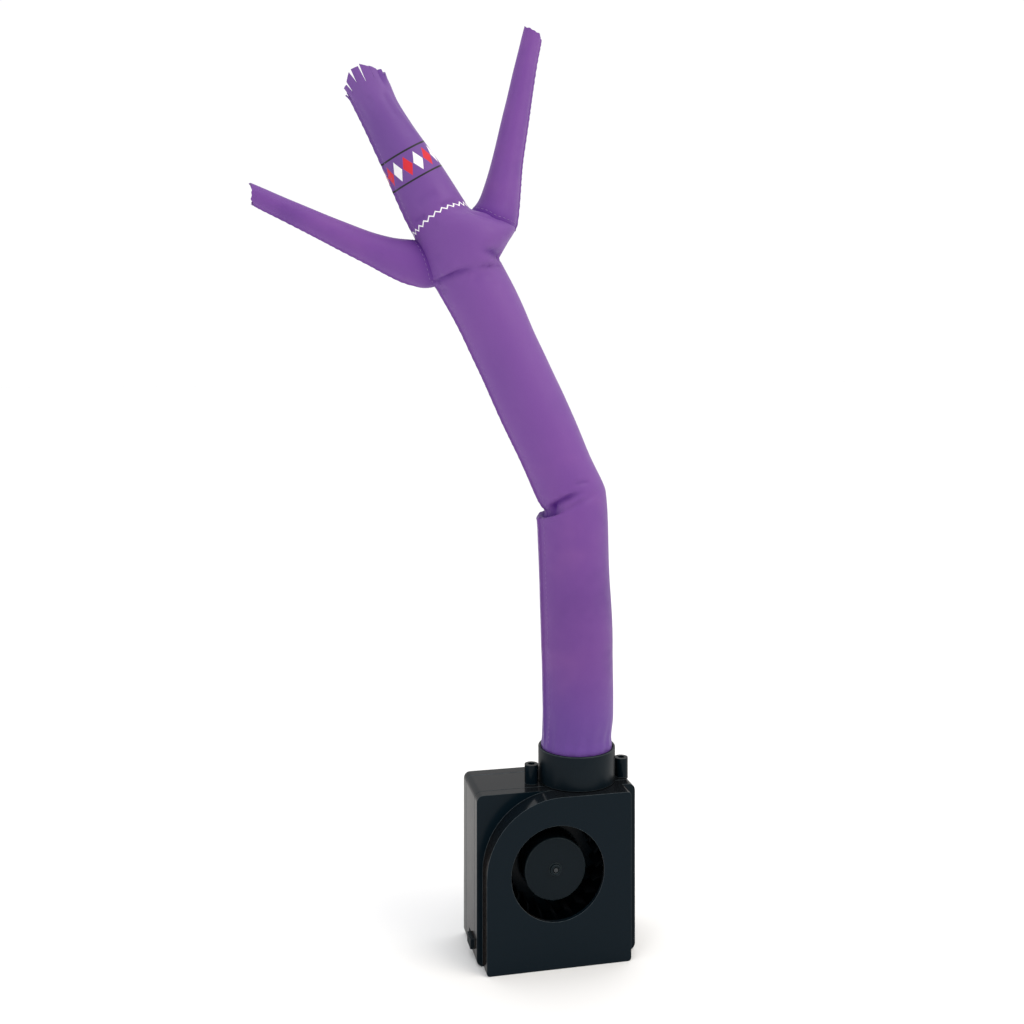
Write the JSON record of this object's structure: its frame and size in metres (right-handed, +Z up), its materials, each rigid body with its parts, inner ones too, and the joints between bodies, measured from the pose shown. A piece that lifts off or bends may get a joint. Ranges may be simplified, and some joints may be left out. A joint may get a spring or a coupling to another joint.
{
  "type": "inflatable air dancer on a desktop blower base",
  "caption": "Sewn cloth tube figure with raised open-tipped arms and a fringed head, held in the round collar of a small box-shaped blower that stands on its flat bottom.",
  "frame": {"origin": "middle of the base's footprint on the floor, on the flat bottom of the case", "axes": "+Z up, +X to the right of the base seen from its intake side, -Y out of the intake side; the figure sways in the X-Z plane"},
  "size_m": [0.1745, 0.0428, 0.4283],
  "materials": {
    "case_plastic": "moulded black plastic, satin to gloss",
    "fan_plastic": "moulded black plastic, satin",
    "motor_metal": "plain steel can",
    "tube_cloth": "thin purple cloth, slight sheen"
  },
  "bodies": {
    "base": {"fan_cover": "case_plastic", "fan_case": "case_plastic", "battery_cover": "case_plastic", "collar": "case_plastic", "motor": "motor_metal", "dancer_tube": "tube_cloth", "left_arm": "tube_cloth", "right_arm": "tube_cloth", "hair_fringe": "tube_cloth"},
    "fan": {"impeller": "fan_plastic"},
    "switch": {"switch_knob": "case_plastic"}
  },
  "joints": [
    {"name": "fan_spin", "type": "hinge", "parent": "base", "child": "fan", "pos_m": [-0.002, 0, 0.0428], "axis": [0, -1, 0], "continuous": true},
    {"name": "switch_slide", "type": "slide", "parent": "base", "child": "switch", "axis": [0, 1, 0], "range_m": [0, 0.003]}
  ]
}
